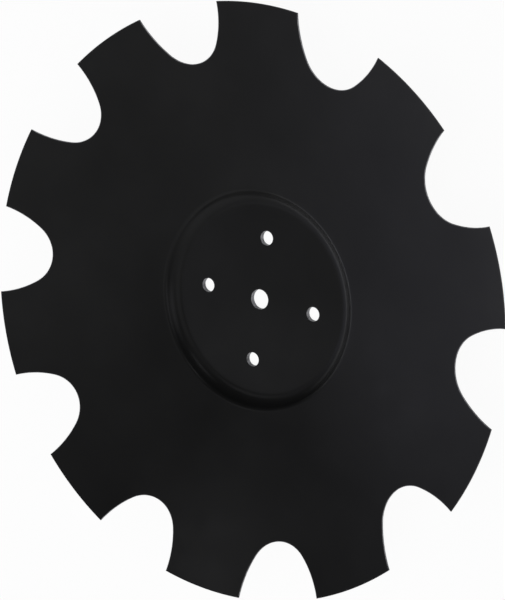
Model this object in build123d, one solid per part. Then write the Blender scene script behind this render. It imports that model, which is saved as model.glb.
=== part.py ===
from build123d import *
from math import asin, cos, degrees, hypot, radians, sin
import os

# Notched harrow disc blade, pressed from one steel plate.
# Lengths are in millimetres and angles in degrees. The blade lies on the rear face of its hub,
# hollow side up, and the origin is the middle of that face. The middle of a notch is on +X.

# plate and dish
blade_diameter = 560.0
plate_thickness = 5.0
dish_radius = 785.0            # on the hollow side

# flat hub, set back from the dish by a rounded step
hub_flat_radius = 90.5
step_angle = 54.0              # slope of the step's wall
step_wall = 1.0                # its straight length
step_root_bend = 15.0          # inside bend at the foot, on the hollow side
step_shoulder_bend = 2.0       # inside bend at the head, on the rear side

# holes in the hub
centre_hole_diameter = 19.0
bolt_circle_diameter = 120.0
bolt_hole_diameter = 13.5
bolt_hole_count = 4
bolt_circle_turn = -1.1        # from the middle of a notch to the first hole

# notches round the rim, each a bottom arc that runs on into two flatter flanks
notch_count = 10
notch_depth = 53.0
notch_bottom_radius = 34.0
notch_bottom_angle = 104.0     # span of the bottom arc
notch_flank_radius = 95.0

# cutting edge, ground from the rear along the rim and the notches
edge_land = 1.3                # what is left of the thickness
bevel_width = 10.0

# worked out from the sizes above
blade_radius = blade_diameter / 2
blank_radius = blade_radius + plate_thickness
notch_floor_radius = blade_radius - notch_depth
shoulder_bend = step_shoulder_bend + plate_thickness
wall_top_radius = (hub_flat_radius + step_root_bend * sin(radians(step_angle))
                   + step_wall * cos(radians(step_angle)))
shoulder_slope = degrees(asin((wall_top_radius + shoulder_bend * sin(radians(step_angle)))
                              / (dish_radius + shoulder_bend)))
blank_slope = degrees(asin(blank_radius / dish_radius))


def hollow_side():
    """The hollow side's profile, from the axis out to the edge of the round blank."""
    flat = Line((0, plate_thickness), (hub_flat_radius, plate_thickness))
    root = JernArc(flat @ 1, flat % 1, step_root_bend, step_angle)
    wall = PolarLine(root @ 1, step_wall, direction=root % 1)
    shoulder = JernArc(wall @ 1, wall % 1, shoulder_bend, shoulder_slope - step_angle)
    dish = JernArc(shoulder @ 1, shoulder % 1, dish_radius, blank_slope - shoulder_slope)
    return [flat, root, wall, shoulder, dish]


def round_blank():
    """The plate as pressed and cut round, with its rim still square."""
    with BuildPart() as blank:
        with BuildSketch(Plane.XZ):
            with BuildLine():
                hollow_side()
                offset(amount=plate_thickness, side=Side.RIGHT)
            make_face()
        revolve(axis=Axis.Z)
        Cylinder(blade_radius, dish_radius, mode=Mode.INTERSECT)
    return blank.part


def notch():
    """One notch as a prism along the axis, with its mouth run out past the blank."""
    turn = notch_bottom_angle / 2
    with BuildPart() as cutter:
        with BuildSketch():
            with BuildLine():
                bottom = JernArc((notch_floor_radius, 0), (0, 1), notch_bottom_radius, -turn)
                flank = JernArc(bottom @ 1, bottom % 1, notch_flank_radius, turn - 90)
                side = Line(flank @ 1, (flank @ 1) + (blank_radius, 0))
                Line(side @ 1, ((side @ 1).X, 0))
                mirror(about=Plane.XZ)
            make_face()
        extrude(amount=dish_radius)
    return cutter.part


def hub_holes():
    """The centre hole and the circle of bolt holes."""
    with BuildPart() as holes:
        Cylinder(centre_hole_diameter / 2, 4 * plate_thickness)
        with PolarLocations(bolt_circle_diameter / 2, bolt_hole_count, bolt_circle_turn):
            Cylinder(bolt_hole_diameter / 2, 4 * plate_thickness)
    return holes.part


def grind_edge(blade):
    """Bevels the rear of the toothed outline, down to the land."""
    rear = blade.faces().filter_by(GeomType.SPHERE).sort_by(lambda face: face.radius)[-1]

    def on_outline(edge):
        middle = edge @ 0.5
        return hypot(middle.X, middle.Y) > notch_floor_radius - edge_land

    return chamfer(rear.edges().filter_by(on_outline), length=bevel_width,
                   length2=plate_thickness - edge_land, reference=rear)


def disc_blade():
    """The round blank, notched and drilled, with its cutting edge ground last."""
    notches = PolarLocations(0, notch_count) * notch()
    return grind_edge(round_blank() - notches - hub_holes())


os.makedirs("parts", exist_ok=True)
export_step(disc_blade(), "parts/disc_blade.step")
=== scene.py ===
from math import acos, asin, atan2, cos, hypot, pi, radians, sin, sqrt, tau

import bmesh
import bpy
from mathutils import Matrix, Quaternion, Vector


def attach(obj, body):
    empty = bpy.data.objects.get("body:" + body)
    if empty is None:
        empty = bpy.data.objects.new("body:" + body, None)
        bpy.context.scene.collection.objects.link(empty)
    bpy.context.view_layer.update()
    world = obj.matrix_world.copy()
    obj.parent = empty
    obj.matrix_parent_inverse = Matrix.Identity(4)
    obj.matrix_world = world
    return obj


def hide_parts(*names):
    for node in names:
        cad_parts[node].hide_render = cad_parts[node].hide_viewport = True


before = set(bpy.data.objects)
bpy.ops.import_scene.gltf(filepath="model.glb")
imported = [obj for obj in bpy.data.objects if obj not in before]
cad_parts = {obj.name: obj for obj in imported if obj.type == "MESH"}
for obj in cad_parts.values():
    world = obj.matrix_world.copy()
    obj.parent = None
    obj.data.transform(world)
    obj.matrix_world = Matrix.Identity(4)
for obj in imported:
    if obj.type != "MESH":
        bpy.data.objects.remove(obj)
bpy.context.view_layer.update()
print("frame loaded:", sorted(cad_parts))

# the blade, in metres and degrees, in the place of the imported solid
bladeSizes = {
    "radius": 0.28, "thickness": 0.005, "dishRadius": 0.785,  # the dish on its hollow side
    "hubFlat": 0.0905, "rootBend": 0.015, "stepAngle": 54, "stepWall": 0.001, "shoulderBend": 0.007,
    "notches": 10, "notchDepth": 0.053, "bottomRadius": 0.034, "bottomAngle": 104, "flankRadius": 0.095,
    "toothRoot": 0.205,  # from here out the rows follow the toothed outline
    "bevelHeight": 0.0037, "bevelWidth": 0.0096, "edgeBreak": 0.00025,
    "centreHole": 0.0095, "boltHole": 0.00675, "boltCircle": 0.060, "boltHoles": 4, "boltTurn": -1.1,
    "flatRing": 0.003, "holeRing": 0.0015,  # narrow rings of the flats, beside the bend and round the holes
    "hollowRows": (0.0018, 0.0008), "bevelRow": 0.001,  # rows close to an edge, so that it shades crisply
    "sharpAngle": 40,  # the corners of the teeth stay crisp
    # how thin the paint is, from 0 for a full coat to 1 over the cut steel; the same values also lay a
    # painted reflection of the bright surroundings on the cut edges and hole walls
    "wearAndReflection": {"edgeTop": 0.5, "land": 1.0, "bevelTop": 0.6, "bevelRow": 0.1, "holeWall": 1.0,
             "rimShare": 0.15},  # along the rim the land takes this share of the thin-paint grey and painted reflection, less than in the punched notches
    "steps": {"root": 14, "wall": 1, "shoulder": 10, "dish": 12, "teeth": 10,
              "bottom": 10, "flank": 9, "rim": 8, "edgeBreak": 3, "hole": 64},
}
mergeGap = 1e-6


def spinOn(bm, verts, centre, angle, steps, axis=(0, 0, 1)):
    spun = bmesh.ops.spin(bm, geom=verts, cent=centre, axis=axis, angle=angle, steps=steps)
    return [item for item in spun["geom_last"] if isinstance(item, bmesh.types.BMVert)]


def extrudeOn(bm, verts, move, steps=1):
    for step in range(steps):
        verts = bmesh.ops.extrude_vert_indiv(bm, verts=verts)["verts"]
        bmesh.ops.translate(bm, verts=verts, vec=Vector(move) / steps)
    return verts


def across(vert):
    return hypot(vert.co.x, vert.co.y)


def stepPlaces(sizes):
    # the foot and head of the step's wall, the centre of the bend above it and the centre of the dish
    angle = radians(sizes["stepAngle"])
    foot = Vector((sizes["hubFlat"] + sizes["rootBend"] * sin(angle), 0,
                   sizes["thickness"] + sizes["rootBend"] * (1 - cos(angle))))
    head = foot + Vector((cos(angle), 0, sin(angle))) * sizes["stepWall"]
    shoulder = head + Vector((sin(angle), 0, -cos(angle))) * sizes["shoulderBend"]
    reach = sizes["dishRadius"] + sizes["shoulderBend"]
    dish = Vector((0, 0, shoulder.z + sqrt(reach ** 2 - shoulder.x ** 2)))
    return foot, head, shoulder, dish


def dishHeight(sizes, depth=0.0):
    # height of the dish at a radius, on a sphere that lies this deep under the hollow side
    centre = stepPlaces(sizes)[3].z
    return lambda r: centre - sqrt((sizes["dishRadius"] + depth) ** 2 - r * r)


def spinPlate(bm, sizes, steps, halfPitch):
    # both sides of the plate in section, from the hub's flat out to the roots of the teeth, then turned
    foot, head, shoulder, dish = stepPlaces(sizes)
    angle = radians(sizes["stepAngle"])
    shoulderSlope = asin(shoulder.x / (sizes["dishRadius"] + sizes["shoulderBend"]))
    rootSlope = asin(sizes["toothRoot"] / sizes["dishRadius"])
    margin = sizes["flatRing"]
    ends = [bm.verts.new((sizes["hubFlat"] - margin, 0, height)) for height in (sizes["thickness"], 0)]
    ends = extrudeOn(bm, ends, (margin, 0, 0))
    rootCentre = (sizes["hubFlat"], 0, sizes["thickness"] + sizes["rootBend"])
    ends = spinOn(bm, ends, rootCentre, -angle, steps["root"], (0, 1, 0))
    ends = extrudeOn(bm, ends, head - foot, steps["wall"])
    ends = spinOn(bm, ends, shoulder, angle - shoulderSlope, steps["shoulder"], (0, 1, 0))
    spinOn(bm, ends, dish, shoulderSlope - rootSlope, steps["dish"], (0, 1, 0))
    bmesh.ops.rotate(bm, verts=bm.verts[:], cent=(0, 0, 0), matrix=Matrix.Rotation(-halfPitch, 3, "Z"))
    bmesh.ops.spin(bm, geom=bm.verts[:] + bm.edges[:], cent=(0, 0, 0), axis=(0, 0, 1), angle=2 * halfPitch,
                   steps=2 * (steps["rim"] + steps["flank"] + steps["bottom"]))


def ringEdges(bm, radius):
    return [edge for edge in bm.edges if all(abs(across(vert) - radius) < mergeGap for vert in edge.verts)]


def toothStrip(bm, row, inset, heightAt, wearAndReflectionLevel, sizes, steps, halfPitch):
    # one notch and half a tooth each side of it, offset inwards by inset and laid at its height
    rowLayer, wearAndReflectionLayer = bm.verts.layers.int["row"], bm.verts.layers.float["wearAndReflection"]
    notchFloor = sizes["radius"] - sizes["notchDepth"]
    turn = radians(sizes["bottomAngle"] / 2)
    bottomCentre = Vector((notchFloor + sizes["bottomRadius"], 0, 0))
    between = sizes["flankRadius"] - sizes["bottomRadius"]
    flankCentre = bottomCentre + Vector((cos(turn), -sin(turn), 0)) * between
    rim, flank, away = sizes["radius"] - inset, sizes["flankRadius"] + inset, flankCentre.length
    toRim = acos((away ** 2 + flank ** 2 - rim ** 2) / (2 * away * flank))
    corner = atan2(-flankCentre.y, -flankCentre.x) - toRim
    tip = flankCentre + Vector((cos(corner), sin(corner), 0)) * flank
    start = bm.verts.new((notchFloor - inset, 0, 0))
    start[rowLayer], start[wearAndReflectionLayer] = row, wearAndReflectionLevel
    ends = spinOn(bm, [start], bottomCentre, -turn, steps["bottom"])
    ends = spinOn(bm, ends, flankCentre, turn + corner - pi, steps["flank"])
    spinOn(bm, ends, (0, 0, 0), halfPitch - atan2(tip.y, tip.x), steps["rim"])
    half = [vert for vert in bm.verts if vert[rowLayer] == row]
    edges = list({edge for vert in half for edge in vert.link_edges})
    bmesh.ops.mirror(bm, geom=half + edges, matrix=Matrix.Identity(4), merge_dist=mergeGap, axis="Y")
    whole = [vert for vert in bm.verts if vert[rowLayer] == row]
    for vert in whole:
        if across(vert) > rim - mergeGap:
            vert[wearAndReflectionLayer] = wearAndReflectionLevel * sizes["wearAndReflection"]["rimShare"]
        vert.co.z = heightAt(across(vert))
    return list({edge for vert in whole for edge in vert.link_edges})


def edgeRows(sizes, steps):
    # inset, height and level of thin paint and painted reflection of each row, over the rounded edge, down
    # the land and in along the bevel
    hollow, rear = dishHeight(sizes), dishHeight(sizes, sizes["thickness"])
    broken, width, height = sizes["edgeBreak"], sizes["bevelWidth"], sizes["bevelHeight"]
    near, wearAndReflection = sizes["bevelRow"], sizes["wearAndReflection"]
    rows = [(inset, hollow, 0.0) for inset in sizes["hollowRows"]]
    for step in range(steps["edgeBreak"] + 1):
        turn = pi / 2 * step / steps["edgeBreak"]
        drop = broken * (1 - cos(turn))
        wearAndReflectionLevel = wearAndReflection["land"] if step else wearAndReflection["edgeTop"]
        rows.append((broken * (1 - sin(turn)), lambda r, drop=drop: hollow(r) - drop, wearAndReflectionLevel))
    rows.append((0.0, lambda r: rear(r) + height + broken, wearAndReflection["land"]))
    bevel = [(broken, wearAndReflection["bevelTop"]), (near, wearAndReflection["bevelRow"])]
    bevel += [(inset, 0.0) for inset in (width / 2, width - near, width - broken)]
    for inset, wearAndReflectionLevel in bevel:
        rows.append((inset, lambda r, left=height * (1 - inset / width): rear(r) + left, wearAndReflectionLevel))
    return rows + [(width + broken, rear, 0.0), (width + near, rear, 0.0)]


def addTeeth(bm, sizes, steps, halfPitch):
    bm.verts.layers.int.new("row")
    bm.verts.layers.float.new("wearAndReflection")
    hollow, rear = dishHeight(sizes), dishHeight(sizes, sizes["thickness"])
    rearRoot = sizes["toothRoot"] * (1 + sizes["thickness"] / sizes["dishRadius"])
    rings = ringEdges(bm, sizes["toothRoot"]), ringEdges(bm, rearRoot)
    strips = [toothStrip(bm, number + 1, *row, sizes, steps, halfPitch)
              for number, row in enumerate(edgeRows(sizes, steps))]
    for near, far in zip(strips, strips[1:]):
        bmesh.ops.bridge_loops(bm, edges=near + far)
    for ring, strip, heightAt in zip(rings, (strips[0], strips[-1]), (hollow, rear)):
        bridge = bmesh.ops.bridge_loops(bm, edges=ring + strip)["edges"]
        cut = bmesh.ops.subdivide_edges(bm, edges=bridge, cuts=steps["teeth"], use_grid_fill=True)
        for item in cut["geom_inner"]:
            if isinstance(item, bmesh.types.BMVert):
                item.co.z = heightAt(across(item))


def addHole(bm, place, radius, sizes, steps):
    # the wall of one hole and its two rounded edges, spun on its own
    broken, thickness, ring = sizes["edgeBreak"], sizes["thickness"], sizes["holeRing"]
    wall = bmesh.new()
    ends = [wall.verts.new((place.x + radius + ring, place.y, thickness))]
    ends = extrudeOn(wall, ends, (broken - ring, 0, 0))
    turnAt = Vector((place.x + radius + broken, place.y, thickness - broken))
    ends = spinOn(wall, ends, turnAt, -pi / 2, steps["edgeBreak"], (0, 1, 0))
    ends = extrudeOn(wall, ends, (0, 0, 2 * broken - thickness))
    turnAt.z = broken
    ends = spinOn(wall, ends, turnAt, -pi / 2, steps["edgeBreak"], (0, 1, 0))
    extrudeOn(wall, ends, (ring - broken, 0, 0))
    bmesh.ops.spin(wall, geom=wall.verts[:] + wall.edges[:], cent=place, axis=(0, 0, 1), angle=tau,
                   steps=steps["hole"], use_merge=True)
    mesh = bpy.data.meshes.new("hole")
    wall.to_mesh(mesh)
    wall.free()
    bm.from_mesh(mesh)
    bpy.data.meshes.remove(mesh)
    wearAndReflectionLayer = bm.verts.layers.float["wearAndReflection"]
    # the hole's wall and its rounded edges take the full light grey: thin paint, and a painted reflection of
    # the bright surroundings
    for vert in bm.verts:
        if (vert.co.xy - place.xy).length < radius + broken - mergeGap:
            vert[wearAndReflectionLayer] = sizes["wearAndReflection"]["holeWall"]


def putInOrder(bm):
    # spin lists edges and faces in another order each run, but verts in the same one
    bm.verts.index_update()
    count = len(bm.verts)

    def rank(item):
        first, second, third = (sorted(vert.index for vert in item.verts) + [0])[:3]
        return (first * count + second) * count + third

    bm.edges.sort(key=rank)
    bm.faces.sort(key=rank)


def makeBlade(sizes):
    steps = sizes["steps"]
    bm = bmesh.new()
    halfPitch = pi / sizes["notches"]
    spinPlate(bm, sizes, steps, halfPitch)
    addTeeth(bm, sizes, steps, halfPitch)
    copies = sizes["notches"] - 1
    bmesh.ops.spin(bm, geom=bm.verts[:] + bm.edges[:] + bm.faces[:], cent=(0, 0, 0), axis=(0, 0, 1),
                   angle=2 * halfPitch * copies, steps=copies, use_duplicate=True)
    bmesh.ops.remove_doubles(bm, verts=bm.verts[:], dist=mergeGap)
    addHole(bm, Vector((0, 0, 0)), sizes["centreHole"], sizes, steps)
    for number in range(sizes["boltHoles"]):
        turn = radians(sizes["boltTurn"]) + number * tau / sizes["boltHoles"]
        addHole(bm, Vector((cos(turn), sin(turn), 0)) * sizes["boltCircle"], sizes["boltHole"], sizes, steps)
    for height, up in ((sizes["thickness"], 1), (0, -1)):  # the two flats of the hub
        edges = [edge for edge in bm.edges
                 if edge.is_boundary and all(abs(vert.co.z - height) < mergeGap for vert in edge.verts)]
        bmesh.ops.triangle_fill(bm, use_beauty=True, edges=edges, normal=(0, 0, up))
    bmesh.ops.recalc_face_normals(bm, faces=bm.faces[:])
    bm.verts.layers.int.remove(bm.verts.layers.int["row"])
    putInOrder(bm)
    print("blade:", len(bm.faces), "faces,", sum(not edge.is_manifold for edge in bm.edges), "open edges")
    mesh = bpy.data.meshes.new("blade")
    bm.to_mesh(mesh)
    bm.free()
    mesh.shade_smooth()
    mesh.set_sharp_from_angle(angle=radians(sizes["sharpAngle"]))
    piece = bpy.data.objects.new("blade", mesh)
    bpy.context.scene.collection.objects.link(piece)
    return piece


def newTree(name, store):
    made = store.new(name)
    made.use_nodes = True
    made.node_tree.nodes.clear()
    return made, made.node_tree


def addNode(tree, kind, inputs=None, **settings):
    # inputs hold a plain value, or the output socket of another node
    node = tree.nodes.new("ShaderNode" + kind)
    for name, value in settings.items():
        setattr(node, name, value)
    for name, value in (inputs or {}).items():
        if isinstance(value, bpy.types.NodeSocket):
            tree.links.new(value, node.inputs[name])
        else:
            node.inputs[name].default_value = value
    return node


def combine(tree, operation, first, second):
    return addNode(tree, "Math", {0: first, 1: second}, operation=operation).outputs[0]


paintLook = {
    "colours": ((0.0094, 0.0095, 0.0092, 1), (0.0126, 0.0127, 0.0124, 1)),  # between thick and thin coats
    "roughness": (0.21, 0.27), "specular": 0.07,
    # where the coat is thin, over the cut steel; its light grey is also a painted reflection of the bright
    # surroundings on the cut walls
    "thinCoatAndReflectionColour": (0.43, 0.43, 0.435, 1), "thinRoughness": 0.45, "thinAndReflectionShare": (0.35, 1.0),
    "clouds": (13, 4), "patches": (230, 5), "sheen": (39, 3),  # scale and detail of each pattern
    "waves": (26, 1), "peel": (430, 2), "grain": (1700, 2),
    "waveDepth": 0.00003, "peelDepth": 0.000009, "grainDepth": 0.0000025,
}
noiseMiddle = (0.32, 0.68)  # most of a noise lies between these


def noise(tree, place, scale, detail):
    made = addNode(tree, "TexNoise", {"Vector": place, "Scale": scale, "Detail": detail})
    return made.outputs[0]


def spread(tree, value, low, high):
    # brings the middle of a noise out to the range from low to high
    ends = {0: value, 1: noiseMiddle[0], 2: noiseMiddle[1], 3: low, 4: high}
    return addNode(tree, "MapRange", ends, clamp=True).outputs[0]


def bump(tree, height, depth, normal=None):
    made = addNode(tree, "Bump", {"Height": height, "Distance": depth})
    if normal:
        tree.links.new(normal, made.inputs["Normal"])
    return made.outputs[0]


def paintMaterial(look):
    material, tree = newTree("blackPaint", bpy.data.materials)
    place = addNode(tree, "TexCoord").outputs["Object"]
    # thick and thin clouds in the coat, and paler patches where it draws back from the cut edges, whose
    # light grey is also a painted reflection of the bright surroundings
    cloud = spread(tree, noise(tree, place, *look["clouds"]), 0, 1)
    coats = {0: cloud, "A": look["colours"][0], "B": look["colours"][1]}
    coat = addNode(tree, "Mix", coats, data_type="RGBA")
    wearAndReflection = addNode(tree, "Attribute", attribute_name="wearAndReflection").outputs["Fac"]
    patches = spread(tree, noise(tree, place, *look["patches"]), *look["thinAndReflectionShare"])
    thinAndReflection = combine(tree, "MULTIPLY", wearAndReflection, patches)
    mixed = {0: thinAndReflection, "A": coat.outputs[2], "B": look["thinCoatAndReflectionColour"]}
    colour = addNode(tree, "Mix", mixed, data_type="RGBA")
    sheen = spread(tree, noise(tree, place, *look["sheen"]), *look["roughness"])
    rough = addNode(tree, "Mix", {0: thinAndReflection, "A": sheen, "B": look["thinRoughness"]}, data_type="FLOAT")
    # slow waves of the pressed plate, orange peel of the paint and its fine grain
    waves = bump(tree, noise(tree, place, *look["waves"]), look["waveDepth"])
    peel = bump(tree, noise(tree, place, *look["peel"]), look["peelDepth"], waves)
    grain = bump(tree, noise(tree, place, *look["grain"]), look["grainDepth"], peel)
    shader = addNode(tree, "BsdfPrincipled", {"Specular IOR Level": look["specular"], "Normal": grain})
    tree.links.new(colour.outputs[2], shader.inputs["Base Color"])
    tree.links.new(rough.outputs[0], shader.inputs["Roughness"])
    addNode(tree, "OutputMaterial", {"Surface": shader.outputs[0]})
    return material


def backdropSeen(tree):
    # 1 where the camera, a gloss or a glass looks straight at the backdrop, 0 where it lights something
    path = addNode(tree, "LightPath").outputs
    straight = combine(tree, "MAXIMUM", path["Is Camera Ray"], path["Is Glossy Ray"])
    return combine(tree, "MAXIMUM", straight, path["Is Transmission Ray"])


def floorMaterial(look):
    material, tree = newTree("paleFloor", bpy.data.materials)
    share = combine(tree, "MULTIPLY", backdropSeen(tree), look["glow"])
    matt = addNode(tree, "BsdfDiffuse", {"Color": look["colour"]})
    glow = addNode(tree, "Emission", {"Color": (1, 1, 1, 1), "Strength": 1})
    both = addNode(tree, "MixShader", {0: share, 1: matt.outputs[0], 2: glow.outputs[0]})
    addNode(tree, "OutputMaterial", {"Surface": both.outputs[0]})
    return material


blade = makeBlade(bladeSizes)
blade.data.materials.append(paintMaterial(paintLook))
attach(blade, "root")
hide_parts("disc_blade")
print("blade painted")

# the floor, just under the hub's rear face
floorLook = {"halfWidth": 4.0, "drop": 0.0002, "colour": (0.9, 0.9, 0.9, 1), "glow": 0.95}
bpy.ops.mesh.primitive_plane_add(size=2 * floorLook["halfWidth"], location=(0, 0, -floorLook["drop"]))
floor = bpy.context.object
floor.name = "floor"
floor.data.materials.append(floorMaterial(floorLook))
print("floor laid")

# a dark room with soft lights, each with its azimuth, elevation, half width, strength and coolness
studioLook = {
    "room": 0.0,
    "lights": {
        "backdropLeft": (187, 0, 29, 3.75, 0.02),
        "backdropMiddle": (208, 3, 18, 5.8, 0.02),
        "backdropRight": (225, 8, 17, 2.3, 0.02),
        "bounce": (204, 30, 27, 1.35, 0.14),
        "bounceHigh": (212, 52, 13, 1.0, 0.02),
        "cameraSide": (12, 37, 31, 2.5, 0.04),
        "wide": (282, 32, 80, 1.26, 0.02),
        "overhead": (329, 85, 30, 1.07, 0.02),
        "smallLeft": (159, 59, 13, 2.3, 0.02),
        "left": (171, 43, 18, 0.6, 0.02),
        "lamp": (195, 39, 6, 2.2, 0.1),
        "smallRight": (77, 51, 12, 4.05, 0.02),
    },
}


def toward(azimuth, elevation):
    a, e = radians(azimuth), radians(elevation)
    return Vector((cos(e) * cos(a), cos(e) * sin(a), sin(e)))


def softLight(tree, direction, look):
    azimuth, elevation, width, strength, cool = look
    aimed = {0: direction, 1: toward(azimuth, elevation)}
    towards = addNode(tree, "VectorMath", aimed, operation="DOT_PRODUCT")
    angle = addNode(tree, "Math", {0: towards.outputs["Value"]}, operation="ARCCOSINE").outputs[0]
    fade = {0: angle, 1: 0.0, 2: radians(width), 3: strength, 4: 0.0}
    level = addNode(tree, "MapRange", fade, interpolation_type="SMOOTHSTEP").outputs[0]
    tint = (1 - cool / 2, 1 - cool / 2, 1 + cool)
    return addNode(tree, "VectorMath", {0: tint, "Scale": level}, operation="SCALE").outputs[0]


def studioWorld(look):
    world, tree = newTree("studio", bpy.data.worlds)
    direction = addNode(tree, "TexCoord").outputs["Generated"]
    level = (look["room"],) * 3
    for light in look["lights"].values():
        added = {0: softLight(tree, direction, light), 1: level}
        level = addNode(tree, "VectorMath", added, operation="ADD").outputs[0]
    soft = addNode(tree, "Background", {"Color": level, "Strength": 1})
    white = addNode(tree, "Background", {"Color": (1, 1, 1, 1), "Strength": 1})
    seen = addNode(tree, "LightPath").outputs["Is Camera Ray"]
    both = addNode(tree, "MixShader", {0: seen, 1: soft.outputs[0], 2: white.outputs[0]})
    addNode(tree, "OutputWorld", {"Surface": both.outputs[0]})
    return world


bpy.context.scene.world = studioWorld(studioLook)
print("studio lit")

# the camera, at the photograph's viewing angle
cameraLook = {"aim": (-0.0111, -0.0039, 0.0), "azimuth": 25.51, "elevation": 54.94, "distance": 1.5866,
              "roll": -105.73, "lens": 99.37, "clipStart": 0.05}
camera = bpy.data.objects.new("camera", bpy.data.cameras.new("camera"))
bpy.context.scene.collection.objects.link(camera)
bpy.context.scene.camera = camera
away = toward(cameraLook["azimuth"], cameraLook["elevation"])
camera.location = Vector(cameraLook["aim"]) + away * cameraLook["distance"]
camera.rotation_mode = "QUATERNION"
roll = Quaternion((0, 0, 1), radians(cameraLook["roll"]))
camera.rotation_quaternion = (-away).to_track_quat("-Z", "Y") @ roll
camera.data.lens = cameraLook["lens"]
camera.data.clip_start = cameraLook["clipStart"]
print("camera placed")

bpy.context.scene.view_settings.view_transform = "Standard"
